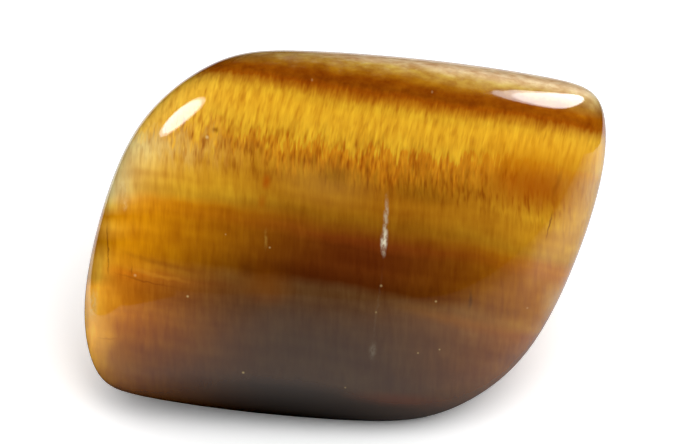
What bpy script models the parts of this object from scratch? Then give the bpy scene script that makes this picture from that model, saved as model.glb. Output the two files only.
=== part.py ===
"""A tumbled and polished piece of tiger's eye, one solid stone leaning back on its long lower edge.

The stone is a soft cushion: two broad domed faces, cut round by six soft flats that make a leaning
lozenge outline. It is worn flat where it rests. Metres, +Z up, +X along the stone, -Y to the front.
"""

import math

import bmesh
import bpy
from mathutils import Matrix, Vector

MM = 0.001

NAME = "tumbled_tigers_eye"

# The flats around the broad face, each a direction from the long axis towards the crown, in degrees,
# and its distance from the middle of the stone.
OUTLINE_FLATS = (
    (94.0, 13.6 * MM),  # crown
    (138.0, 16.1 * MM),  # broad shoulder, upper left
    (170.0, 16.5 * MM),  # left end
    (275.0, 14.9 * MM),  # underside
    (316.0, 15.7 * MM),  # broad hip, lower right
    (345.5, 15.3 * MM),  # right end
)
OUTLINE_SHARPNESS = 14.0  # how tightly one flat turns into the next

# The domes of the broad faces: half axes of an ellipsoid that the outline trims.
DOME_HALF_LENGTH = 34.0 * MM
DOME_HALF_WIDTH = 16.5 * MM
FRONT_HALF_THICKNESS = 6.8 * MM
BACK_HALF_THICKNESS = 10.5 * MM
RIM_SHARPNESS = 3.6  # how tightly a broad face turns into the outline

# How the stone lies.
LEAN_BACK = math.radians(24.0)  # the front face looks up by this much
ROLL = math.radians(-7.0)  # the crown slopes down to the right by this much
FOOT_DEPTH = 1.2 * MM  # worn off the lowest point
FOOT_EDGE = 0.2 * MM  # height over which the worn foot rounds into the underside

GRID_CUTS = 25  # cuts along each edge of the starting cube

STONE_COLOUR = (0.42, 0.19, 0.035, 1.0)
STONE_ROUGHNESS = 0.12


def clear_scene():
    for obj in list(bpy.data.objects):
        bpy.data.objects.remove(obj, do_unlink=True)


def outline_reach(along, across):
    """How far out a point lies in the plane of the broad faces: 1 on the outline."""
    total = 0.0
    for degrees, distance in OUTLINE_FLATS:
        angle = math.radians(degrees)
        reach = (along * math.cos(angle) + across * math.sin(angle)) / distance
        total += max(reach, 0.0) ** OUTLINE_SHARPNESS
    return total ** (1.0 / OUTLINE_SHARPNESS)


def dome_reach(point):
    """How far out a point lies in the ellipsoid of the two domes: 1 on its surface."""
    thickness = FRONT_HALF_THICKNESS if point.z > 0.0 else BACK_HALF_THICKNESS
    scaled = Vector((point.x / DOME_HALF_LENGTH, point.y / DOME_HALF_WIDTH, point.z / thickness))
    return scaled.length


def stone_surface(direction):
    """The point of the stone's surface in this direction from its middle.

    x runs along the stone, y up its broad face and z out of the front.
    """
    outline = outline_reach(direction.x, direction.y)
    dome = dome_reach(direction)
    reach = (outline**RIM_SHARPNESS + dome**RIM_SHARPNESS) ** (1.0 / RIM_SHARPNESS)
    return direction / reach


def lying_pose():
    """Turns the stone's own axes into the room's: rolled in its own plane, then leaning back."""
    upright = Matrix.Rotation(math.radians(90.0), 3, "X")
    lean = Matrix.Rotation(-LEAN_BACK, 3, "X")
    return lean @ upright @ Matrix.Rotation(ROLL, 3, "Z")


def worn_height(height):
    """Wears everything below zero flat, with a rounded edge around the worn foot."""
    if height >= FOOT_EDGE:
        return height
    if height <= -FOOT_EDGE:
        return 0.0
    return (height + FOOT_EDGE) ** 2 / (4.0 * FOOT_EDGE)


def even_direction(corner):
    """A point of the cube's even grid as a direction, spaced evenly in angle."""
    return Vector([math.tan(side * math.pi / 4.0) for side in corner]).normalized()


def stone_points(corners):
    """The stone's surface points, lying on the floor with the middle of their box over the origin."""
    pose = lying_pose()
    points = [pose @ stone_surface(even_direction(corner)) for corner in corners]
    floor = min(point.z for point in points) + FOOT_DEPTH
    middle_x = (min(point.x for point in points) + max(point.x for point in points)) / 2.0
    middle_y = (min(point.y for point in points) + max(point.y for point in points)) / 2.0
    return [
        Vector((point.x - middle_x, point.y - middle_y, worn_height(point.z - floor)))
        for point in points
    ]


def stone_mesh():
    grid = bmesh.new()
    bmesh.ops.create_cube(grid, size=2.0)
    bmesh.ops.subdivide_edges(grid, edges=grid.edges[:], cuts=GRID_CUTS, use_grid_fill=True)
    for vert, point in zip(grid.verts, stone_points([vert.co.copy() for vert in grid.verts])):
        vert.co = point
    bmesh.ops.recalc_face_normals(grid, faces=grid.faces[:])
    mesh = bpy.data.meshes.new(NAME)
    grid.to_mesh(mesh)
    grid.free()
    mesh.shade_smooth()
    return mesh


def stone_material():
    material = bpy.data.materials.new("polished_tigers_eye")
    material.use_nodes = True
    shader = material.node_tree.nodes["Principled BSDF"]
    shader.inputs["Base Color"].default_value = STONE_COLOUR
    shader.inputs["Roughness"].default_value = STONE_ROUGHNESS
    shader.inputs["Metallic"].default_value = 0.0
    return material


def build():
    clear_scene()
    collection = bpy.data.collections.new(NAME)
    bpy.context.scene.collection.children.link(collection)
    mesh = stone_mesh()
    mesh.materials.append(stone_material())
    stone = bpy.data.objects.new(NAME, mesh)
    collection.objects.link(stone)


if __name__ == "__main__":
    build()
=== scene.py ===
"""A tumbled and polished tiger's eye stone, and the pale studio it lies in.

The stone is one closed mesh made by Geometry Nodes from the flats and domes it was ground to. Its colour
comes from nodes that lay the mineral's seams, its fibres and its few flaws through the stone, with
painted glow in its thin ends, painted sheen on its gold band and a few patches of painted light and
shade, in
axes that turn with it: "along" runs with the long side, "up" climbs the broad front face towards the
crown, and "out" points out of the front.
"""

import math

import bpy
from bpy.props import FloatProperty, FloatVectorProperty, IntProperty, PointerProperty
from bpy.types import Operator, Panel, PropertyGroup
from mathutils import Matrix, Vector


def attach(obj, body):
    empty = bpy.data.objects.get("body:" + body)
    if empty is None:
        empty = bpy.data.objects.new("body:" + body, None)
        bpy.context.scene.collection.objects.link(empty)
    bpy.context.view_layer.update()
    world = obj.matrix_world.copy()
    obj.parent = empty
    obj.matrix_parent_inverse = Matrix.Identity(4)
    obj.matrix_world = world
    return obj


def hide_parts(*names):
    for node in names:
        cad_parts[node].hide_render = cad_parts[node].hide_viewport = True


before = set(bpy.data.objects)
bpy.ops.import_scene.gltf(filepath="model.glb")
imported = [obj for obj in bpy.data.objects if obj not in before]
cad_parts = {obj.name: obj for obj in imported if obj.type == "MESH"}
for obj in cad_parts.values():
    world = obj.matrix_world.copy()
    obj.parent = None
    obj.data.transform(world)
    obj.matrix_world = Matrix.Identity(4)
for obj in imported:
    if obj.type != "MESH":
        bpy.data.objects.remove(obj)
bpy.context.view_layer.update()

bl_info = {
    "name": "Tumbled Tiger's Eye",
    "version": (1, 0, 0),
    "blender": (4, 5, 0),
    "location": "View3D > Sidebar > Tiger's Eye",
    "description": "A polished tiger's eye stone and the pale studio it lies in",
    "category": "Add Mesh",
}

MM = 0.001
STONE_NODE = "tumbled_tigers_eye"
STONE_PIECE = "polished_tigers_eye"
BAKE_MAP = "OFBake"
RELIEF = "relief"

# The flats around the broad face: the size that holds each one's distance, and its direction in degrees
# from the long axis towards the crown.
OUTLINE_FLATS = (
    ("crown_reach", 94.0),
    ("left_shoulder_reach", 138.0),
    ("left_end_reach", 170.0),
    ("underside_reach", 275.0),
    ("right_hip_reach", 316.0),
    ("right_end_reach", 345.5),
)

# The block that the stone is ground from: half its sizes in millimetres. On its gridded cube, which
# reaches from -1 to 1, a face lies on a side where its middle is past ON_SIDE.
BLOCK_HALF = (17.5, 13.5, 8.6)
ON_SIDE = 0.999

# The bake map: the side of its sheet, and its charts with the block's axis and side, the two axes laid
# across and up the chart, and the middle of the chart on the sheet, in millimetres.
BAKE_SHEET = 71.0
BAKE_CHARTS = (
    ("z", 1.0, "x", "y", (17.7, 13.7)),
    ("z", -1.0, "x", "y", (53.2, 13.7)),
    ("y", 1.0, "x", "z", (17.7, 36.3)),
    ("y", -1.0, "x", "z", (53.2, 36.3)),
    ("x", 1.0, "y", "z", (13.7, 54.0)),
    ("x", -1.0, "y", "z", (41.2, 54.0)),
)

# The seams of the mineral, by height in millimetres up through the layers: a colour of the palette and
# how much of it. The first list is the thick middle of the stone, the second its shoulders, painted
# lighter where light starts to come through, and the third its thin ends, painted with the glow of the
# light that comes through them. In the middle the bright gold band is the fibres' own gold with a
# painted sheen on it, and the dark rust seam above it is partly its own colour and partly painted shade.
LAYERS_LOW = -14.0
LAYERS_HIGH = 18.0
MIDDLE_LAYERS = (
    (-13.0, "soot", 0.1),
    (-10.5, "soot", 0.1),
    (-9.3, "soot", 0.2),
    (-8.3, "soot", 0.55),
    (-6.0, "soot", 0.6),
    (-4.5, "soot", 0.8),
    (-3.0, "soot", 1.15),
    (-2.2, "soot", 1.3),
    (-1.4, "umber", 0.6),
    (-0.4, "umber", 0.8),
    (1.0, "umber", 0.9),
    (1.6, "umber", 1.3),
    (2.9, "honey", 0.72),
    (3.4, "honey", 0.84),
    (4.0, "honey", 0.96),
    (5.2, "honey", 1.0),
    (6.0, "honey", 1.18),
    (6.8, "honey", 1.4),
    (7.5, "honey", 1.57),
    (8.1, "gold", 0.84),
    (8.8, "gold", 0.94),
    (9.6, "gold", 1.0),
    (10.5, "gold", 1.0),
    (11.1, "gold", 0.88),
    (11.6, "honey", 1.25),
    (12.1, "rust", 1.15),
    (12.5, "rust", 0.82),
    (13.0, "rust", 0.95),
    (13.5, "honey", 1.0),
    (14.2, "straw", 0.6),
    (14.9, "crust", 1.4),
)
SHOULDER_LAYERS = (
    (-13.0, "ember", 0.5),
    (-9.5, "ember", 0.55),
    (-8.2, "ember", 0.7),
    (-7.2, "ember", 0.98),
    (-6.0, "ember", 1.22),
    (-4.2, "ember", 1.2),
    (-3.4, "ember", 1.35),
    (-2.9, "ember", 1.6),
    (-2.3, "flame", 1.1),
    (-1.5, "flame", 1.04),
    (-0.4, "flame", 1.0),
    (0.8, "flame", 1.0),
    (2.2, "flame", 1.05),
    (2.9, "gold", 1.35),
    (4.1, "gold", 1.45),
    (5.1, "gold", 1.45),
    (5.7, "gold", 1.3),
    (6.2, "gold", 1.15),
    (7.0, "gold", 1.1),
    (8.0, "gold", 1.15),
    (9.2, "gold", 1.25),
    (10.2, "gold", 1.42),
    (11.1, "gold", 1.35),
    (11.6, "gold", 0.95),
    (12.1, "rust", 1.6),
    (12.8, "rust", 1.6),
    (13.4, "gold", 0.52),
    (14.1, "crust", 0.6),
    (15.0, "crust", 1.3),
)
END_LAYERS = (
    (-13.0, "blaze", 1.1),
    (-9.5, "blaze", 1.2),
    (-7.5, "blaze", 1.2),
    (-6.4, "blaze", 1.0),
    (-5.2, "blaze", 1.15),
    (-4.3, "blaze", 1.25),
    (-3.6, "blaze", 0.7),
    (-2.2, "blaze", 0.75),
    (-0.8, "flame", 0.6),
    (0.2, "blaze", 0.9),
    (1.0, "flame", 0.75),
    (1.8, "straw", 0.9),
    (2.8, "cream", 0.95),
    (5.2, "cream", 1.0),
    (6.4, "cream", 1.1),
    (7.5, "straw", 1.5),
    (10.8, "straw", 1.5),
    (11.6, "straw", 1.2),
    (12.1, "flame", 0.7),
    (12.9, "flame", 0.8),
    (13.6, "crust", 1.0),
    (15.0, "crust", 1.3),
)

# Where along the stone it is thickest, how far left and right of there its ends are, and how late the
# shoulders and then the ends take over with their painted glow.
GLOW_MIDDLE = 1.5
GLOW_REACH_LEFT = 17.5
GLOW_REACH_RIGHT = 18.5
SHOULDER_POWER = 2.2
END_POWER = 18.0

# Flaws and inclusions near the front, and a few patches of painted light and shade: name, place along
# and up the face, half width and half length, turn in degrees, share of the radius over which the edge
# fades, palette colour, amount of colour, strength.
MARKS_AND_PAINTED_LIGHT = (
    ("right_seam", 8.0, -3.3, 5.8, 0.7, -10.5, 1.0, "honey", 1.0, 0.28),
    # Painted paler light at the thin right edge.
    ("right_edge", 14.7, -2.4, 1.5, 2.7, 23.0, 1.0, "cream", 0.72, 0.42),
    ("amber_cloud", 12.0, 7.9, 6.4, 2.3, -5.0, 1.0, "flame", 0.70, 0.66),
    ("olive_haze", -2.0, 5.1, 4.6, 2.0, -3.0, 1.0, "straw", 0.62, 0.2),
    ("rust_cloud", 12.0, 6.3, 5.4, 2.3, -7.0, 1.0, "rust", 1.45, 0.84),
    ("dark_haze", 4.3, 5.2, 3.2, 1.0, -3.0, 1.0, "honey", 0.5, 0.42),
    ("brown_haze", -1.4, 5.8, 2.1, 0.9, -4.0, 1.0, "honey", 0.48, 0.42),
    # Painted shade along the foot, darker and redder, for the shadow under the stone that the polish
    # mirrors.
    ("red_foot_shade", 5.0, -9.7, 4.8, 0.9, 0.0, 1.0, "umber", 0.9, 0.6),
    # Painted glow of light coming through the thin left end, in its low corner.
    ("left_corner_glow", -15.7, -7.4, 1.3, 3.2, 8.0, 0.9, "blaze", 1.1, 0.55),
    ("gold_step", -14.8, -8.1, 1.4, 0.12, 21.0, 1.0, "ember", 0.8, 0.5),
    ("warm_haze", -5.0, -2.2, 2.6, 1.9, -4.0, 1.0, "ember", 0.42, 0.4),
    ("left_dark_seam", -11.6, -1.9, 4.4, 0.34, -3.0, 1.0, "umber", 1.7, 0.32),
    ("left_pale_seam", -12.6, -2.75, 3.4, 0.26, -1.0, 1.0, "blaze", 0.75, 0.30),
    ("left_thin_seam", -13.0, -3.35, 2.9, 0.10, 0.0, 1.0, "umber", 1.5, 0.42),
    ("left_hairline", -15.75, -1.9, 0.10, 2.4, 8.4, 0.9, "umber", 1.2, 0.75),
    ("second_hairline", -14.0, -2.8, 0.08, 0.7, 4.0, 1.0, "umber", 1.6, 0.4),
    ("right_hairline", 13.2, 3.7, 0.09, 1.3, -4.0, 0.9, "umber", 1.3, 0.75),
    ("right_fissure", 13.3, 6.4, 0.28, 1.6, -12.0, 1.0, "rust", 0.9, 0.45),
    ("red_spot", -5.85, 4.75, 0.46, 0.75, 0.0, 1.0, "rust", 1.55, 0.95),
    ("red_spot_low", -5.95, 3.4, 0.45, 0.65, 0.0, 1.0, "rust", 1.4, 0.6),
    ("dark_spot", -9.55, 7.42, 0.30, 0.28, 0.0, 1.0, "rust", 0.8, 0.75),
    ("smudge", 8.55, -1.7, 0.22, 1.0, 3.0, 1.0, "soot", 0.8, 0.6),
    ("dark_knot", -6.3, -1.3, 0.8, 0.8, 0.0, 1.0, "umber", 0.6, 0.45),
    ("crown_patch", 8.6, 12.3, 1.2, 0.3, -6.0, 1.0, "rust", 1.4, 0.4),
)

# Cracks and wisps filled with quartz, laid down in the same way. The silver of the cracks is partly
# painted shine of light off them, and the pale crystals at the left end are partly painted sparkle. They
# are broken along their length.
QUARTZ_MARKS_AND_PAINTED_SHINE = (
    ("crack_upper", 2.30, 3.2, 0.24, 2.1, 4.0, 1.0, "quartz", 0.72, 0.60),
    ("crack_lower", 2.38, 1.75, 0.30, 1.25, 3.0, 0.9, "quartz", 0.95, 0.95),
    ("crack_tail", 2.5, -3.2, 0.12, 4.2, 0.5, 1.0, "quartz", 0.35, 0.07),
    ("tail_wisp", 2.6, -6.0, 0.34, 0.9, 0.0, 1.0, "quartz", 0.40, 0.24),
    ("vein", -5.4, 0.9, 0.15, 1.0, 6.0, 1.0, "straw", 0.5, 0.36),
    ("crystal_wisp", -15.3, 2.7, 1.0, 2.3, 0.0, 1.0, "cream", 0.95, 0.5),
    ("crystal_top", -15.2, 4.1, 0.5, 0.5, 20.0, 1.0, "cream", 1.1, 0.5),
    ("crystal_middle", -15.4, 2.4, 0.75, 0.5, 10.0, 1.0, "cream", 1.1, 0.55),
    ("crystal_low", -14.9, 1.3, 0.25, 0.5, 0.0, 1.0, "cream", 1.1, 0.4),
    ("pale_flake", -16.3, -6.2, 0.5, 1.6, 0.0, 0.8, "cream", 1.0, 0.6),
)

# Small bright specks: place along and up the front, radius and strength.
SPECKS = (
    (-10.05, 6.9, 0.17, 0.8),
    (-5.78, -8.86, 0.13, 0.55),
    (-10.08, -3.81, 0.13, 0.6),
    (-13.71, -3.1, 0.15, 0.5),
    (-3.59, 11.15, 0.12, 0.3),
    (4.4, 11.35, 0.12, 0.3),
    (6.3, -2.0, 0.12, 0.45),
    (5.6, -5.85, 0.10, 0.4),
    (7.0, -5.46, 0.10, 0.4),
    (12.5, -2.2, 0.12, 0.3),
    (1.12, -9.1, 0.10, 0.3),
    (-8.08, 0.87, 0.09, 0.3),
    (-5.08, 0.4, 0.11, 0.4),
    (2.55, -1.3, 0.14, 0.35),
    (2.45, -3.2, 0.11, 0.25),
)


def number(name, description, default, **settings):
    return FloatProperty(name=name, description=description, default=default, **settings)


def length(name, description, millimetres):
    return number(name, description, millimetres * MM, unit="LENGTH")


def angle(name, description, degrees):
    return number(name, description, math.radians(degrees), unit="ROTATION")


def point(name, description, millimetres):
    default = [part * MM for part in millimetres]
    return FloatVectorProperty(
        name=name, description=description, default=default, size=3, subtype="TRANSLATION"
    )


def grid_points(name, description, default):
    return IntProperty(name=name, description=description, default=default)


class StoneShape(PropertyGroup):
    """The sizes the stone is ground to."""

    crown_reach: length("Crown Reach", "Distance of the crown flat from the middle of the stone", 13.6)
    left_shoulder_reach: length(
        "Left Shoulder Reach", "Distance of the broad upper left flat from the middle of the stone", 16.1
    )
    left_end_reach: length(
        "Left End Reach", "Distance of the left end from the middle of the stone", 16.5
    )
    underside_reach: length(
        "Underside Reach", "Distance of the underside flat from the middle of the stone", 14.9
    )
    right_hip_reach: length(
        "Right Hip Reach", "Distance of the broad lower right flat from the middle of the stone", 15.7
    )
    right_end_reach: length(
        "Right End Reach", "Distance of the right end from the middle of the stone", 15.3
    )
    outline_sharpness: number(
        "Outline Sharpness", "How tightly one flat of the outline turns into the next", 14.0
    )
    dome_half_length: length(
        "Dome Half Length", "Half axis along the stone of the domed broad faces", 34.0
    )
    dome_half_width: length("Dome Half Width", "Half axis up the stone of the domed broad faces", 16.5)
    front_half_thickness: length(
        "Front Half Thickness", "Height of the front dome over the middle of the stone", 6.8
    )
    back_half_thickness: length(
        "Back Half Thickness", "Height of the back dome over the middle of the stone", 10.5
    )
    rim_sharpness: number("Rim Sharpness", "How tightly a broad face turns into the outline", 3.6)
    roll: angle("Roll", "Turn of the stone in the plane of its broad face", -7.0)
    tip: angle("Tip", "Turn about the long axis, from lying flat on its back to lying as it does", 66.0)
    middle: point("Middle", "Where the middle of the stone lies over the floor", (0.077, -1.380, 11.676))
    foot_edge: length("Foot Edge", "Height over which the worn foot rounds into the underside", 0.2)
    hollows: length("Hollows", "Depth of the shallow hollows that tumbling leaves in the surface", 0.03)
    crown_pits: length("Crown Pits", "Depth of the fine pitting in the softer rock of the crown", 0.004)
    grid_along: grid_points("Grid Along", "Points of the surface grid along the stone", 141)
    grid_up: grid_points("Grid Up", "Points of the surface grid up the stone", 109)
    grid_out: grid_points("Grid Out", "Points of the surface grid through the stone", 69)


def palette_colour(name, description, colour):
    return FloatVectorProperty(
        name=name, description=description, default=colour, size=3, min=0.0, max=1.0, subtype="COLOR"
    )


class StonePalette(PropertyGroup):
    """The colours of the mineral."""

    soot: palette_colour("Soot", "Smoky quartz that is nearly black", (0.080, 0.032, 0.009))
    umber: palette_colour("Umber", "Dark brown quartz in the thick of the stone", (0.120, 0.022, 0.002))
    rust: palette_colour("Rust", "Red-brown iron seam below the crown", (0.25, 0.055, 0.001))
    honey: palette_colour("Honey", "Clear olive brown of the middle layers", (0.34, 0.118, 0.004))
    # The gold of the band is the fibres' own colour; its brightness there is painted sheen.
    gold: palette_colour("Gold", "The bright band of silky fibres", (0.68, 0.34, 0.015))
    # Ember, flame, blaze, straw and cream mostly carry the painted glow of the shoulders and thin ends.
    ember: palette_colour("Ember", "Deep red amber low on the shoulders", (0.55, 0.14, 0.001))
    flame: palette_colour("Flame", "Orange amber of the shoulders", (0.88, 0.31, 0.002))
    blaze: palette_colour("Blaze", "Yellow orange low in the thin ends", (1.0, 0.46, 0.035))
    straw: palette_colour("Straw", "Yellow of the thin ends", (1.0, 0.58, 0.09))
    cream: palette_colour("Cream", "Pale yellow where the stone is thinnest", (1.0, 0.76, 0.32))
    crust: palette_colour("Crust", "Tan rock along the crown", (0.74, 0.50, 0.27))
    quartz: palette_colour("Quartz", "Clear silvery quartz in cracks and specks", (0.80, 0.72, 0.52))


class StoneFinish(PropertyGroup):
    """The grain and the polish."""

    layer_tilt: number("Layer Tilt", "How far the layers climb for each step out of the front", 0.36)
    layer_dip: number("Layer Dip", "How far the layers sink for each step to the right", 0.045)
    layer_lift: number(
        "Layer Lift", "Height of the layers at the middle of the stone, in millimetres", 2.4
    )
    band_narrowing: number(
        "Band Narrowing", "How far the ragged edge of the band rises for each step to the right", 0.12
    )
    sheet_lean: number(
        "Sheet Lean", "Sideways step of the sheets of fibres for each step down the stone", 0.11
    )
    fibre_lean: number(
        "Fibre Lean", "How fast the fibres bend sideways above the start of their lean", 0.030
    )
    lean_start: number("Lean Start", "Height up the stone where the fibres start to lean", 5.5)
    polish_roughness: number(
        "Polish Roughness", "Roughness of the polished surface", 0.05, min=0.0, max=1.0
    )


class StudioSettings(PropertyGroup):
    """The floor, the lamps and the camera."""

    floor_half: length("Floor Half Size", "Half the side of the square floor sheet", 900.0)
    paper: number("Paper", "How much light the white paper reflects", 0.80)
    overexposed: number("Overexposed", "The same as the camera sees it, burnt out to white", 1.40)
    pool_radius: length("Pool Radius", "Radius around the stone over which the paper is fully lit", 18.0)
    pool_fade: length(
        "Pool Fade", "Distance past the pool of light at which the paper is half as bright", 80.0
    )
    pool_rest: number("Pool Rest", "Share of the light that is left far from the stone", 0.08)
    side_glow: number(
        "Side Glow", "How much brighter the pool of light is to the right of the stone", 1.1
    )
    camera_distance: length("Camera Distance", "From the stone to the camera", 350.0)
    camera_elevation: angle("Camera Elevation", "How far the camera looks down", 40.0)
    lens: number("Lens", "Focal length in millimetres", 276.3)
    aim: point("Aim", "The point that the camera looks at", (-0.44, -0.20, 11.76))
    ambient: number("Ambient", "Soft light from the whole room", 0.75, min=0.0)
    main_lamp: number("Main Lamp", "Brightness of the lamp at the upper right", 2.7, min=0.0)
    soft_boxes: number(
        "Soft Boxes", "Dims or brightens the boxes that the polish mirrors", 1.0, min=0.0
    )


class Wire:
    """The value on one output socket. Plain arithmetic on it adds Math nodes."""

    def __init__(self, bench, socket):
        self.bench = bench
        self.socket = socket

    def __add__(self, other):
        return self.bench.math("ADD", self, other)

    def __radd__(self, other):
        return self.bench.math("ADD", other, self)

    def __sub__(self, other):
        return self.bench.math("SUBTRACT", self, other)

    def __rsub__(self, other):
        return self.bench.math("SUBTRACT", other, self)

    def __mul__(self, other):
        return self.bench.math("MULTIPLY", self, other)

    def __truediv__(self, other):
        return self.bench.math("DIVIDE", self, other)

    def __rtruediv__(self, other):
        return self.bench.math("DIVIDE", other, self)

    def __pow__(self, other):
        return self.bench.math("POWER", self, other)


class Bench:
    """Adds nodes to one tree, wires them up and lays them out in columns."""

    COLUMN = 14
    STEP = (190.0, -170.0)

    def __init__(self, tree):
        self.tree = tree

    def node(self, kind, inputs=None, **settings):
        place = len(self.tree.nodes)
        node = self.tree.nodes.new(kind)
        node.location = (self.STEP[0] * (place // self.COLUMN), self.STEP[1] * (place % self.COLUMN))
        for name, value in settings.items():
            setattr(node, name, value)
        for name, value in (inputs or {}).items():
            self.feed(self.live(node.inputs, name), value)
        return node

    @staticmethod
    def live(sockets, name):
        """The socket of this name, or at this place, that the node's settings leave in use."""
        if isinstance(name, int):
            return sockets[name]
        return next(socket for socket in sockets if socket.name == name and socket.enabled)

    def feed(self, socket, value):
        if isinstance(value, Wire):
            self.tree.links.new(value.socket, socket)
        else:
            socket.default_value = value

    def wire(self, node, name=0):
        return Wire(self, self.live(node.outputs, name))

    def math(self, operation, *values):
        return self.wire(self.node("ShaderNodeMath", dict(enumerate(values)), operation=operation))

    def vector_math(self, operation, *values):
        node = self.node("ShaderNodeVectorMath", dict(enumerate(values)), operation=operation)
        return self.wire(node, "Value" if operation == "LENGTH" else "Vector")

    def combine(self, x, y, z):
        return self.wire(self.node("ShaderNodeCombineXYZ", {0: x, 1: y, 2: z}))

    def split(self, vector):
        node = self.node("ShaderNodeSeparateXYZ", {0: vector})
        return [self.wire(node, axis) for axis in "XYZ"]

    def smooth_step(self, value, low, high):
        """0 below low and 1 above high, or the other way round where low is the greater."""
        limits = {"Value": value, "From Min": low, "From Max": high}
        return self.wire(self.node("ShaderNodeMapRange", limits, interpolation_type="SMOOTHSTEP"))

    def span(self, value, start, full, last, end):
        """Rises from 0 at the start to 1 where it is full, and falls from the last full place to 0 at
        the end."""
        return self.smooth_step(value, start, full) * self.smooth_step(value, end, last)

    def noise(self, vector, scale, detail=0.0, roughness=0.5):
        inputs = {"Vector": vector, "Scale": scale, "Detail": detail, "Roughness": roughness}
        return self.wire(self.node("ShaderNodeTexNoise", inputs))

    def mix(self, amount, first, second, blend="MIX"):
        inputs = {0: amount, 6: first, 7: second}
        node = self.node("ShaderNodeMix", data_type="RGBA", blend_type=blend)
        for place, value in inputs.items():
            self.feed(node.inputs[place], value)
        return self.wire(node, "Result")

    def ramp(self, amount, stops):
        node = self.node("ShaderNodeValToRGB", {0: amount})
        elements = node.color_ramp.elements
        while len(elements) > 1:
            elements.remove(elements[-1])
        elements[0].position, elements[0].color = stops[0]
        for position, colour in stops[1:]:
            elements.new(position).color = colour
        return self.wire(node, "Color")


def opaque(colour, amount=1.0):
    return (*(part * amount for part in colour), 1.0)


def new_material(name):
    """A material made of nodes, a bench for its tree and its shader."""
    material = bpy.data.materials.new(name)
    material.use_nodes = True
    return material, Bench(material.node_tree), material.node_tree.nodes["Principled BSDF"]


# ---------------------------------------------------------------------------------------- the stone


def shape_inputs(bench, shape):
    """One named input of the tree for each size of the stone, and its wire."""
    tree = bench.tree
    sockets = {}
    for prop in shape.bl_rna.properties:
        if prop.identifier in ("rna_type", "name"):
            continue
        is_vector = prop.type == "FLOAT" and prop.is_array
        kind = "Vector" if is_vector else {"INT": "Int", "FLOAT": "Float"}[prop.type]
        socket = tree.interface.new_socket(
            prop.name, in_out="INPUT", socket_type="NodeSocket" + kind, description=prop.description
        )
        if kind == "Float":
            socket.subtype = {"LENGTH": "DISTANCE", "ROTATION": "ANGLE"}.get(prop.unit, "NONE")
        sockets[prop.identifier] = socket
    start = bench.node("NodeGroupInput")
    wires = {name: bench.wire(start, socket.name) for name, socket in sockets.items()}
    return sockets, wires


def stored_on(bench, geometry, name, value, data_type, domain):
    """The geometry with a value kept on it under this name."""
    inputs = {"Geometry": geometry, "Name": name, "Value": value}
    return bench.wire(
        bench.node("GeometryNodeStoreNamedAttribute", inputs, data_type=data_type, domain=domain)
    )


def block_with_bake_map(bench, sizes):
    """A gridded cube from -1 to 1 whose six sides are laid out side by side on the bake map."""
    counts = {
        "Vertices X": sizes["grid_along"],
        "Vertices Y": sizes["grid_up"],
        "Vertices Z": sizes["grid_out"],
    }
    cube = bench.node("GeometryNodeMeshCube", {"Size": (2.0, 2.0, 2.0), **counts})
    place = bench.wire(bench.node("GeometryNodeInputPosition"))
    face = bench.node("GeometryNodeFieldOnDomain", {0: place}, data_type="FLOAT_VECTOR", domain="FACE")
    points = dict(zip("xyz", bench.split(place)))
    sides = dict(zip("xyz", bench.split(bench.wire(face))))
    halves = dict(zip("xyz", BLOCK_HALF))
    across = up = 0.0
    for axis, sign, right, top, middle in BAKE_CHARTS:
        chosen = bench.math("GREATER_THAN", sides[axis] * sign, ON_SIDE)
        across = across + chosen * (points[right] * halves[right] + middle[0])
        up = up + chosen * (points[top] * halves[top] + middle[1])
    chart = bench.combine(across / BAKE_SHEET, up / BAKE_SHEET, 0.0)
    return stored_on(bench, bench.wire(cube, "Mesh"), BAKE_MAP, chart, "FLOAT2", "CORNER"), place


def ground_surface(bench, sizes, place):
    """Where a point of the block lands on the stone, in the stone's own axes."""
    along, up, out = (
        bench.math("TANGENT", part * (math.pi / 4.0)) * (half * MM)
        for part, half in zip(bench.split(place), BLOCK_HALF)
    )
    outline = 0.0
    for name, degrees in OUTLINE_FLATS:
        heading = math.radians(degrees)
        reach = (along * math.cos(heading) + up * math.sin(heading)) / sizes[name]
        outline = outline + bench.math("MAXIMUM", reach, 0.0) ** sizes["outline_sharpness"]
    outline = outline ** (1.0 / sizes["outline_sharpness"])
    in_front = bench.math("GREATER_THAN", out, 0.0)
    back, front = sizes["back_half_thickness"], sizes["front_half_thickness"]
    thickness = back + in_front * (front - back)
    half_length, half_width = sizes["dome_half_length"], sizes["dome_half_width"]
    scaled = bench.combine(along / half_length, up / half_width, out / thickness)
    dome = bench.vector_math("LENGTH", scaled)
    sharpness = sizes["rim_sharpness"]
    reach = (outline**sharpness + dome**sharpness) ** (1.0 / sharpness)
    return bench.combine(along / reach, up / reach, out / reach)


def laid_down(bench, sizes, surface):
    """The surface rolled, tipped back and set over the floor, with its lowest part worn flat."""
    rolled = bench.node(
        "ShaderNodeVectorRotate", {"Vector": surface, "Angle": sizes["roll"]}, rotation_type="Z_AXIS"
    )
    tipped = bench.node(
        "ShaderNodeVectorRotate",
        {"Vector": bench.wire(rolled), "Angle": sizes["tip"]},
        rotation_type="X_AXIS",
    )
    x, y, z = bench.split(bench.vector_math("ADD", bench.wire(tipped), sizes["middle"]))
    edge = sizes["foot_edge"]
    near_floor = bench.math("MINIMUM", bench.math("MAXIMUM", z + edge, 0.0), edge * 2.0)
    height = near_floor**2.0 / (edge * 4.0) + bench.math("MAXIMUM", z - edge, 0.0)
    return bench.combine(x, y, height), z


# Heights up the face over which the crown's pitting sets in, and over the floor over which all relief
# does, in millimetres.
PITTED_CROWN = (11.3, 12.1)
OFF_FLOOR = (0.3, 1.5)


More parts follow.
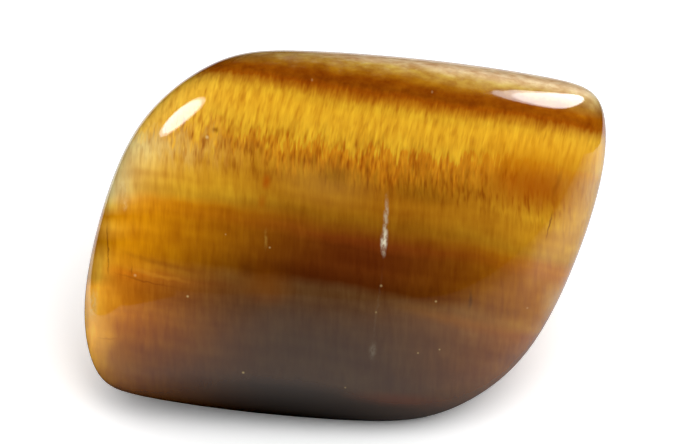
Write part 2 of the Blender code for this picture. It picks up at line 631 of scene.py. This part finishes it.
def tumbling_relief(bench, sizes, surface, height):
    """How far a point stands in or out: shallow hollows everywhere and fine pits along the crown."""
    in_mm = bench.vector_math("MULTIPLY", surface, (1.0 / MM, 1.0 / MM, 1.0 / MM))
    up = bench.split(in_mm)[1]
    hollows = (bench.noise(in_mm, 0.11, 1.0) - 0.5) * sizes["hollows"] * 2.0
    pitting = bench.smooth_step(bench.noise(in_mm, 1.3, 2.0), 0.42, 0.30) * sizes["crown_pits"]
    on_crown = bench.smooth_step(up, *PITTED_CROWN)
    off_floor = bench.smooth_step(height / MM, *OFF_FLOOR)
    return (hollows - pitting * on_crown) * off_floor


def stone_tree(shape, material):
    """The Geometry Nodes tree of the stone, and its input sockets by the size that they hold."""
    tree = bpy.data.node_groups.new("tumbled_stone", "GeometryNodeTree")
    bench = Bench(tree)
    sockets, sizes = shape_inputs(bench, shape)
    tree.interface.new_socket("Stone", in_out="OUTPUT", socket_type="NodeSocketGeometry")
    block, place = block_with_bake_map(bench, sizes)
    surface = ground_surface(bench, sizes, place)
    lying, height = laid_down(bench, sizes, surface)
    relief = tumbling_relief(bench, sizes, surface, height)
    carrier = stored_on(bench, block, RELIEF, relief, "FLOAT", "POINT")
    ground = bench.node("GeometryNodeSetPosition", {"Geometry": carrier, "Position": lying})
    normal = bench.wire(bench.node("GeometryNodeInputNormal"))
    kept = bench.node("GeometryNodeInputNamedAttribute", {"Name": RELIEF}, data_type="FLOAT")
    step = {"Vector": normal, "Scale": bench.wire(kept, "Attribute")}
    offset = bench.wire(bench.node("ShaderNodeVectorMath", step, operation="SCALE"))
    tumbled = bench.node("GeometryNodeSetPosition", {"Geometry": bench.wire(ground), "Offset": offset})
    cleaned = bench.node("GeometryNodeRemoveAttribute", {"Geometry": bench.wire(tumbled), "Name": RELIEF})
    smooth = bench.node("GeometryNodeSetShadeSmooth", {"Geometry": bench.wire(cleaned)})
    realized = bench.node("GeometryNodeRealizeInstances", {"Geometry": bench.wire(smooth)})
    finished = bench.node(
        "GeometryNodeSetMaterial", {"Geometry": bench.wire(realized), "Material": material}
    )
    bench.node("NodeGroupOutput", {"Stone": bench.wire(finished)})
    return tree, sockets


def make_plain_mesh(obj):
    """Turns the evaluated object into a plain mesh and takes its modifiers away."""
    graph = bpy.context.evaluated_depsgraph_get()
    mesh = bpy.data.meshes.new_from_object(obj.evaluated_get(graph))
    while mesh.materials and mesh.materials[0] is None:
        mesh.materials.pop(index=0)
    obj.modifiers.clear()
    obj.data = mesh
    mesh.name = obj.name


def make_stone(scene):
    material = stone_material(scene.tigers_eye_shape, scene.tigers_eye_palette, scene.tigers_eye_finish)
    tree, sockets = stone_tree(scene.tigers_eye_shape, material)
    stone = bpy.data.objects.new(STONE_PIECE, bpy.data.meshes.new(STONE_PIECE))
    scene.collection.objects.link(stone)
    modifier = stone.modifiers.new("Tumbled Stone", "NODES")
    modifier.node_group = tree
    for name, socket in sockets.items():
        value = getattr(scene.tigers_eye_shape, name)
        modifier[socket.identifier] = value if isinstance(value, (int, float)) else tuple(value)
    make_plain_mesh(stone)
    return stone


# ------------------------------------------------------------------------------------- its material


def soft_mark_group():
    """A shader group that gives a soft oval mask around one place of the stone."""
    tree = bpy.data.node_groups.new("soft_mark", "ShaderNodeTree")
    for name in ("Place", "Centre", "Turn", "Half Size"):
        tree.interface.new_socket(name, in_out="INPUT", socket_type="NodeSocketVector")
    tree.interface.new_socket("Softness", in_out="INPUT", socket_type="NodeSocketFloat")
    tree.interface.new_socket("Mask", in_out="OUTPUT", socket_type="NodeSocketFloat")
    bench = Bench(tree)
    start = bench.node("NodeGroupInput")
    centred = bench.node(
        "ShaderNodeMapping",
        {
            "Vector": bench.wire(start, "Place"),
            "Location": bench.wire(start, "Centre"),
            "Rotation": bench.wire(start, "Turn"),
            "Scale": bench.wire(start, "Half Size"),
        },
        vector_type="TEXTURE",
    )
    reach = bench.vector_math("LENGTH", bench.wire(centred))
    mask = bench.smooth_step(reach, 1.0, 1.0 - bench.wire(start, "Softness"))
    bench.node("NodeGroupOutput", {"Mask": mask})
    return tree


# How far out of the middle the marks sit, and how far in and out from there they reach, in millimetres.
MARK_OUT = 6.0
MARK_DEPTH = 8.0


def soft_mark(bench, group, place, centre, half_size, degrees=0.0, softness=1.0):
    node = bench.node("ShaderNodeGroup", node_tree=group)
    bench.feed(node.inputs["Place"], place)
    bench.feed(node.inputs["Centre"], (*centre, MARK_OUT))
    bench.feed(node.inputs["Turn"], (0.0, 0.0, math.radians(degrees)))
    bench.feed(node.inputs["Half Size"], (*half_size, MARK_DEPTH))
    bench.feed(node.inputs["Softness"], softness)
    return bench.wire(node, "Mask")


def layer_stops(layers, palette):
    span = LAYERS_HIGH - LAYERS_LOW
    return [
        ((height - LAYERS_LOW) / span, opaque(getattr(palette, colour), amount))
        for height, colour, amount in layers
    ]


def stone_axes(bench, shape):
    """The place of a shaded point in the stone's own axes, in millimetres."""
    coordinates = bench.node("ShaderNodeTexCoord")
    lying = Matrix.Rotation(shape.tip, 3, "X") @ Matrix.Rotation(shape.roll, 3, "Z")
    mapping = bench.node(
        "ShaderNodeMapping",
        {
            "Vector": bench.wire(coordinates, "Object"),
            "Location": tuple(shape.middle),
            "Rotation": tuple(lying.to_euler("XYZ")),
            "Scale": (MM, MM, MM),
        },
        vector_type="TEXTURE",
    )
    return bench.wire(mapping)


# Kinds of streaks that the fibres make: width and length in millimetres, and a seed.
COARSE_TEETH = (0.95, 7.0, 0.0)
FINE_TEETH = (0.26, 1.2, 31.0)
HAIR_TEETH = (0.14, 0.8, 57.0)
SILK = (0.36, 2.2, 91.0)
THIN_LINES = (0.21, 1.05, 13.0)
BROAD_LINES = (0.36, 1.5, 77.0)

# Zones by height in the layers: where each starts, is full, is full for the last time and ends. The face
# is such a zone along the stone, between its calmer ends.
LOWER_EDGE = (3.6, 6.4, 8.2, 10.4)
UPPER_EDGE = (10.4, 11.4, 12.0, 12.8)
RAGGED_ZONE = (4.0, 6.0, 7.6, 9.4)
FACE = (-15.5, -10.5, 12.0, 15.5)

# Heights in the layers over which something sets in: the deep stone, going down, the high stone, going
# up, the silky band, the fibres below the crown, the clouds below the band, the smoke in the rust seam
# and the rock of the crown.
DEEP = (1.5, -3.0)
HIGH = (1.5, 6.5)
SILKY = (4.0, 7.0)
FIBROUS = (13.2, 11.6)
CLOUDY = (8.0, 5.0)
SMOKY = (11.4, 12.6)
ROCKY = (13.1, 15.3)


def fibre_axes(bench, place, finish):
    """Across the fibres, up them and out through them, in millimetres."""
    along, up, out = bench.split(place)
    climb = bench.math("MAXIMUM", up - finish.lean_start, 0.0)
    return along + up * finish.sheet_lean - climb * climb * finish.fibre_lean, up, out


def streaks(bench, fibres, kind, detail=1.0):
    """Noise around 0, in streaks of one kind."""
    across, up, out = fibres
    width, run, seed = kind
    vector = bench.combine(across / width + seed, up / run, out / run)
    return bench.noise(vector, 1.0, detail, 0.55) - 0.5


def layer_height(bench, place, finish):
    """How high a place lies in the layers, which run tilted through the stone and sway a little."""
    along, up, out = bench.split(place)
    sway = (bench.noise(place, 0.16, 1.0) - 0.5) * 1.1 + (bench.noise(place, 0.75, 1.0) - 0.5) * 0.35
    return up - out * finish.layer_tilt + along * finish.layer_dip + finish.layer_lift + sway


def layered_colour(bench, along, layer, palette):
    """The colour of the seam at this height, from the thick middle past the shoulders to the thin ends,
    whose painted glow of light coming through takes over further out. Deep down the middle lies further
    left and the ends start later, and high up they start sooner."""
    amount = (layer - LAYERS_LOW) / (LAYERS_HIGH - LAYERS_LOW)
    middle = bench.ramp(amount, layer_stops(MIDDLE_LAYERS, palette))
    shoulders = bench.ramp(amount, layer_stops(SHOULDER_LAYERS, palette))
    ends = bench.ramp(amount, layer_stops(END_LAYERS, palette))
    deep = bench.smooth_step(layer, *DEEP)
    high = bench.smooth_step(layer, *HIGH)
    offset = along + deep * 3.0 - GLOW_MIDDLE
    left = offset * (-1.0 / GLOW_REACH_LEFT) * (1.0 + deep * 0.2)
    right = offset / GLOW_REACH_RIGHT * (1.0 - deep * 0.18 - high * 0.12)
    reach = bench.math("MINIMUM", bench.math("MAXIMUM", left, right), 1.0)
    colour = bench.mix(reach ** (deep * 0.6 + SHOULDER_POWER), middle, shoulders)
    return bench.mix(reach ** (END_POWER - high * 12.0), colour, ends)


def combed_layer(bench, along, layer, fibres, lively, finish):
    """The layers' height with the band's edges combed out into teeth along the fibres."""
    coarse = streaks(bench, fibres, COARSE_TEETH) * 3.0
    teeth = streaks(bench, fibres, FINE_TEETH) * 3.9 + streaks(bench, fibres, HAIR_TEETH) * 2.8
    narrowing = bench.math("MAXIMUM", along, 0.0) * finish.band_narrowing
    lower = ((coarse + teeth) * lively - narrowing) * bench.span(layer, *LOWER_EDGE)
    return layer + lower + teeth * 0.15 * bench.span(layer, *UPPER_EDGE)


def fibre_shade(bench, layer, fibres, lively):
    """How light or dark the fibres make a place: soft silk, with thin and broad lines drawn over it."""
    in_band = bench.smooth_step(layer, *SILKY)
    fibrous = bench.smooth_step(layer, *FIBROUS)
    ragged = bench.span(layer, *RAGGED_ZONE)
    silk = streaks(bench, fibres, SILK, 2.0) * fibrous * (0.50 + in_band * 0.14)
    thin = bench.smooth_step(streaks(bench, fibres, THIN_LINES), -0.04, 0.24) * -0.44
    broad = bench.smooth_step(streaks(bench, fibres, BROAD_LINES), 0.00, 0.28) * -0.36
    lined = fibrous * (0.10 + (in_band * 0.24 + ragged * 0.42) * lively)
    return 1.06 + silk + (thin + broad) * lined


def cloud_shade(bench, place, layer):
    """How light or dark the bands and clouds below the silky band and the smoke in the seam are."""
    along, up, _ = bench.split(place)
    bands = bench.noise(bench.combine(along * 0.05, layer, 0.0), 1.1, 1.0, 0.5) - 0.5
    clouds = bench.noise(bench.combine(along * 0.30, up * 0.45, 0.0), 1.0, 2.0, 0.6) - 0.5
    smoke = bench.noise(place, 0.9, 3.0, 0.6) - 0.5
    below = (bands * 0.35 + clouds * 0.45) * bench.smooth_step(layer, *CLOUDY)
    return (1.0 + below) * (1.0 + smoke * 1.3 * bench.smooth_step(layer, *SMOKY))


def stone_colour(bench, place, palette, finish):
    """The colour of the mineral at a place of the stone, with its painted glow and sheen, and its height
    in the layers.
    """
    along = bench.split(place)[0]
    fibres = fibre_axes(bench, place, finish)
    layer = layer_height(bench, place, finish)
    lively = bench.span(along, *FACE) * 0.75 + 0.25
    combed = combed_layer(bench, along, layer, fibres, lively, finish)
    colour = layered_colour(bench, along, combed, palette)
    shade = fibre_shade(bench, layer, fibres, lively) * cloud_shade(bench, place, layer)
    tint = bench.combine(shade, shade**1.7, shade**2.2)
    return bench.mix(1.0, colour, tint, "MULTIPLY"), layer


def crown_rock(bench, place, layer, colour, palette):
    """Cloudy tan rock with pale patches and dark grains over the crown, browner towards the left."""
    along = bench.split(place)[0]
    ragged = (bench.noise(place, 1.1, 3.0, 0.65) - 0.5) * 1.3
    on_crown = bench.smooth_step(layer + ragged - along * 0.04, *ROCKY)
    clouds = bench.smooth_step(bench.noise(place, 0.62, 3.0, 0.6), 0.40, 0.62)
    browner = bench.smooth_step(along, 7.0, -7.0)
    brown = on_crown * (browner * 0.32 + (1.0 - clouds) * 0.32)
    colour = bench.mix(on_crown * clouds * 0.45, colour, opaque(palette.crust, 1.15))
    colour = bench.mix(brown, colour, opaque(palette.honey, 1.15))
    blotches = bench.smooth_step(bench.noise(place, 1.6, 3.0, 0.7), 0.54, 0.70)
    colour = bench.mix(on_crown * blotches * 0.25, colour, opaque(palette.quartz, 0.85))
    grains = bench.smooth_step(bench.noise(place, 1.5, 2.0, 0.6), 0.42, 0.28)
    return bench.mix(on_crown * grains * 0.13, colour, opaque(palette.rust, 1.3))


# How far the edges of the marks fray along and up the face, in millimetres from side to side.
FRAYING = (0.32, 0.3, 0.0)


def paint_marks_and_light(bench, place, colour, palette):
    """The listed marks, among them patches of painted light and shade, and specks over a colour, with
    edges that fray a little. The pale crystals are broken up into flakes."""
    group = soft_mark_group()
    jitter = bench.node("ShaderNodeTexNoise", {"Vector": place, "Scale": 1.7, "Detail": 2.0})
    shift = bench.vector_math("SUBTRACT", bench.wire(jitter, "Color"), (0.5, 0.5, 0.5))
    frayed = bench.vector_math("ADD", place, bench.vector_math("MULTIPLY", shift, FRAYING))
    along, up, _ = bench.split(place)
    flakes = bench.noise(bench.combine(along * 4.0, up * 2.2, 0.0), 1.0, 2.0, 0.7)
    broken = bench.smooth_step(flakes, 0.36, 0.60) * 0.75 + 0.25
    for marks, share in ((MARKS_AND_PAINTED_LIGHT, 1.0), (QUARTZ_MARKS_AND_PAINTED_SHINE, broken)):
        for _, mark_along, mark_up, wide, long, turn, softness, name, amount, strength in marks:
            half_size = (wide, long)
            mask = soft_mark(bench, group, frayed, (mark_along, mark_up), half_size, turn, softness)
            colour = bench.mix(mask * strength * share, colour, opaque(getattr(palette, name), amount))
    for speck_along, speck_up, radius, strength in SPECKS:
        mask = soft_mark(bench, group, place, (speck_along, speck_up), (radius, radius))
        colour = bench.mix(mask * (strength * 0.7), colour, opaque(palette.cream))
    return colour


QUARTZ_IOR = 1.54


def stone_material(shape, palette, finish):
    material, bench, shader = new_material("silky_tigers_eye")
    place = stone_axes(bench, shape)
    colour, layer = stone_colour(bench, place, palette, finish)
    colour = crown_rock(bench, place, layer, colour, palette)
    colour = paint_marks_and_light(bench, place, colour, palette)
    bench.feed(shader.inputs["Base Color"], colour)
    shader.inputs["Roughness"].default_value = finish.polish_roughness
    shader.inputs["IOR"].default_value = QUARTZ_IOR
    return material


# --------------------------------------------------------------------------------------- the studio


# The stone's own shadow, painted into the paper that the polish mirrors: how far left its middle is, how
# much wider it is than deep, and the depths at which it is full and gone.
FOOT_SHADE_LEFT = 5.0 * MM
FOOT_SHADE_WIDENING = 1.6
FOOT_SHADE = (7.5 * MM, 17.0 * MM)

# The painted brighter light on the paper to the right, which the right end mirrors: how far to the right
# it starts and is at its best, and how softly it ends towards the front.
SIDE_GLOW = (24.0 * MM, 50.0 * MM)
SIDE_GLOW_FRONT = (0.0, 30.0 * MM)


def floor_material(studio):
    """White paper. The camera sees it burnt out to white. The polish mirrors it with a painted pool of
    light that starts past a painted shadow of the stone and falls off into the dark room."""
    material, bench, shader = new_material("pale_paper")
    place = bench.wire(bench.node("ShaderNodeTexCoord"), "Object")
    beyond = bench.math("MAXIMUM", bench.vector_math("LENGTH", place) - studio.pool_radius, 0.0)
    across, deep, _ = bench.split(place)
    foot = bench.combine((across + FOOT_SHADE_LEFT) / FOOT_SHADE_WIDENING, deep, 0.0)
    shaded = bench.smooth_step(bench.vector_math("LENGTH", foot), *FOOT_SHADE)
    pool = studio.pool_fade * (1.0 - studio.pool_rest) / (beyond + studio.pool_fade) + studio.pool_rest
    behind = bench.smooth_step(across * 1.2 + deep, *SIDE_GLOW_FRONT)
    lamp_side = bench.smooth_step(across, *SIDE_GLOW) * behind
    light_path = bench.node("ShaderNodeLightPath")
    seen = bench.wire(light_path, "Is Camera Ray")
    mirrored = bench.wire(light_path, "Is Glossy Ray")
    lit = shaded * studio.paper * pool * (lamp_side * mirrored * studio.side_glow + 1.0)
    bench.feed(shader.inputs["Base Color"], lit + seen * (studio.overexposed - lit))
    shader.inputs["Roughness"].default_value = 0.9
    shader.inputs["Specular IOR Level"].default_value = 0.0
    return material


def make_floor(scene, studio):
    half = studio.floor_half
    mesh = bpy.data.meshes.new("floor")
    corners = [(-half, -half, 0.0), (half, -half, 0.0), (half, half, 0.0), (-half, half, 0.0)]
    mesh.from_pydata(corners, [], [(0, 1, 2, 3)])
    floor = bpy.data.objects.new("floor", mesh)
    mesh.materials.append(floor_material(studio))
    scene.collection.objects.link(floor)
    return floor


def direction(azimuth, elevation):
    """Unit vector to a place of the room, with the azimuth in degrees from straight behind the stone
    to the right."""
    turn, rise = math.radians(azimuth), math.radians(elevation)
    return Vector((math.sin(turn) * math.cos(rise), math.cos(turn) * math.cos(rise), math.sin(rise)))


# The point over the floor that the lamps face.
STONE_MIDDLE = Vector((0.0, 0.0, 12.0 * MM))

# The main lamp: its azimuth and elevation in degrees, and its distance from the stone and its side in
# metres.
MAIN_LAMP_DIRECTION = (148.0, 56.0)
MAIN_LAMP_DISTANCE = 0.15
MAIN_LAMP_SIDE = 0.11

# The oval soft boxes that the polish mirrors: name, azimuth, elevation, distance, length, width, tilt and
# brightness, with angles in degrees and sizes in metres. Behind each stands a dimmer, larger one, which
# makes its edge soft.
SOFT_BOXES = (
    ("left_soft_box", -62.0, 33.0, 0.299, 0.138, 0.092, 47.0, 5.8),
    ("left_soft_box_edge", -62.0, 33.0, 0.301, 0.162, 0.112, 47.0, 4.1),
    ("right_soft_box", 30.9, 37.8, 0.299, 0.214, 0.090, 106.0, 5.5),
    ("right_soft_box_edge", 30.9, 37.8, 0.301, 0.238, 0.106, 106.0, 4.5),
)

# The foot of the black flag that stands around the back and the sides, and its height, in millimetres.
# It keeps the white floor out of the ends' reflections.
FLAG_FOOT = (
    (-150.0, -300.0),
    (-90.0, -110.0),
    (-62.0, -34.0),
    (-31.0, 1.0),
    (-28.0, 12.0),
    (-26.0, 24.0),
    (-16.0, 50.0),
    (10.0, 60.0),
    (36.0, 40.0),
    (52.0, 19.0),
    (100.0, 6.0),
    (600.0, -100.0),
)
FLAG_HEIGHT = 24.0


def make_flag(scene):
    """A black flag that only the polish sees."""
    low = [(x * MM, y * MM, 0.0) for x, y in FLAG_FOOT]
    high = [(x * MM, y * MM, FLAG_HEIGHT * MM) for x, y in FLAG_FOOT]
    count = len(FLAG_FOOT)
    faces = [(place, place + 1, count + place + 1, count + place) for place in range(count - 1)]
    mesh = bpy.data.meshes.new("black_flag")
    mesh.from_pydata(low + high, [], faces)
    material, _, shader = new_material("black_velvet")
    shader.inputs["Base Color"].default_value = (0.002, 0.002, 0.002, 1.0)
    shader.inputs["Specular IOR Level"].default_value = 0.0
    mesh.materials.append(material)
    flag = bpy.data.objects.new("black_flag", mesh)
    flag.visible_camera = False
    flag.visible_diffuse = False
    flag.visible_shadow = False
    scene.collection.objects.link(flag)
    return flag


def make_lamp(scene, name, shape, place, width, height, radiance, tilt=0.0):
    """A lamp at a place over the stone, facing it. Energy goes by the area, so radiance sets the look."""
    data = bpy.data.lights.new(name, "AREA")
    data.shape = shape
    data.size = width
    data.size_y = height
    data.energy = radiance * math.pi * width * height
    lamp = bpy.data.objects.new(name, data)
    lamp.location = STONE_MIDDLE + place
    turn = place.to_track_quat("Z", "Y").to_matrix() @ Matrix.Rotation(math.radians(tilt), 3, "Z")
    lamp.rotation_euler = turn.to_euler()
    lamp.visible_camera = False
    scene.collection.objects.link(lamp)
    return lamp


def make_room(scene, studio):
    """A white room that the polish doesn't mirror, as if the stone were shot in a dark one."""
    world = bpy.data.worlds.new("studio_room")
    scene.world = world
    world.use_nodes = True
    bench = Bench(world.node_tree)
    background = world.node_tree.nodes["Background"]
    seen = bench.wire(bench.node("ShaderNodeLightPath"), "Is Camera Ray")
    bench.feed(background.inputs["Color"], (1.0, 1.0, 1.0, 1.0))
    bench.feed(background.inputs["Strength"], studio.ambient + seen * (1.0 - studio.ambient))
    world.cycles_visibility.glossy = False


def make_camera(scene, studio):
    data = bpy.data.cameras.new("studio_camera")
    data.lens = studio.lens
    data.clip_start = 0.01
    camera = bpy.data.objects.new("studio_camera", data)
    back = Vector((0.0, -math.cos(studio.camera_elevation), math.sin(studio.camera_elevation)))
    camera.location = Vector(studio.aim) + back * studio.camera_distance
    camera.rotation_euler = back.to_track_quat("Z", "Y").to_euler()
    scene.collection.objects.link(camera)
    scene.camera = camera


# ------------------------------------------------------------------------------------ the operators


class TIGERSEYE_OT_stone(Operator):
    """Make the polished stone"""

    bl_idname = "mesh.tigers_eye_stone"
    bl_label = "Polished Stone"

    def execute(self, context):
        stone = make_stone(context.scene)
        if not stone.data.polygons:
            raise RuntimeError("the stone's nodes made no surface")
        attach(stone, "root")
        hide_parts(STONE_NODE)
        return {"FINISHED"}


class TIGERSEYE_OT_studio(Operator):
    """Lay the floor, hang the lamps and set up the camera"""

    bl_idname = "scene.tigers_eye_studio"
    bl_label = "Pale Studio"

    def execute(self, context):
        scene = context.scene
        studio = scene.tigers_eye_studio
        make_floor(scene, studio)
        make_flag(scene)
        make_room(scene, studio)
        place = direction(*MAIN_LAMP_DIRECTION) * MAIN_LAMP_DISTANCE
        side = MAIN_LAMP_SIDE
        lamp = make_lamp(scene, "main_lamp", "RECTANGLE", place, side, side, studio.main_lamp)
        lamp.visible_glossy = False
        for name, azimuth, elevation, distance, width, height, tilt, radiance in SOFT_BOXES:
            place = direction(azimuth, elevation) * distance
            light = radiance * studio.soft_boxes
            box = make_lamp(scene, name, "ELLIPSE", place, width, height, light, tilt)
            box.visible_diffuse = False
        make_camera(scene, studio)
        scene.view_settings.view_transform = "Standard"
        if scene.camera is None:
            raise RuntimeError("the studio has no camera")
        return {"FINISHED"}


class TIGERSEYE_PT_sidebar(Panel):
    """The stone's and the studio's settings"""

    bl_idname = "TIGERSEYE_PT_sidebar"
    bl_label = "Tumbled Tiger's Eye"
    bl_space_type = "VIEW_3D"
    bl_region_type = "UI"
    bl_category = "Tiger's Eye"

    def draw(self, context):
        layout = self.layout
        for title, name in GROUP_TITLES:
            box = layout.box()
            box.label(text=title)
            group = getattr(context.scene, name)
            for prop in group.bl_rna.properties:
                if prop.identifier not in ("rna_type", "name"):
                    box.prop(group, prop.identifier)
        layout.operator(TIGERSEYE_OT_stone.bl_idname)
        layout.operator(TIGERSEYE_OT_studio.bl_idname)


GROUPS = (
    ("tigers_eye_shape", StoneShape),
    ("tigers_eye_palette", StonePalette),
    ("tigers_eye_finish", StoneFinish),
    ("tigers_eye_studio", StudioSettings),
)
GROUP_TITLES = (
    ("Shape", "tigers_eye_shape"),
    ("Palette", "tigers_eye_palette"),
    ("Finish", "tigers_eye_finish"),
    ("Studio", "tigers_eye_studio"),
)
CLASSES = (
    StoneShape,
    StonePalette,
    StoneFinish,
    StudioSettings,
    TIGERSEYE_OT_stone,
    TIGERSEYE_OT_studio,
    TIGERSEYE_PT_sidebar,
)


def register():
    for cls in CLASSES:
        bpy.utils.register_class(cls)
    for name, group in GROUPS:
        setattr(bpy.types.Scene, name, PointerProperty(type=group))


def unregister():
    for name, _ in GROUPS:
        delattr(bpy.types.Scene, name)
    for cls in reversed(CLASSES):
        bpy.utils.unregister_class(cls)


def main():
    register()
    bpy.ops.scene.tigers_eye_studio()
    bpy.ops.mesh.tigers_eye_stone()


if __name__ == "__main__":
    main()
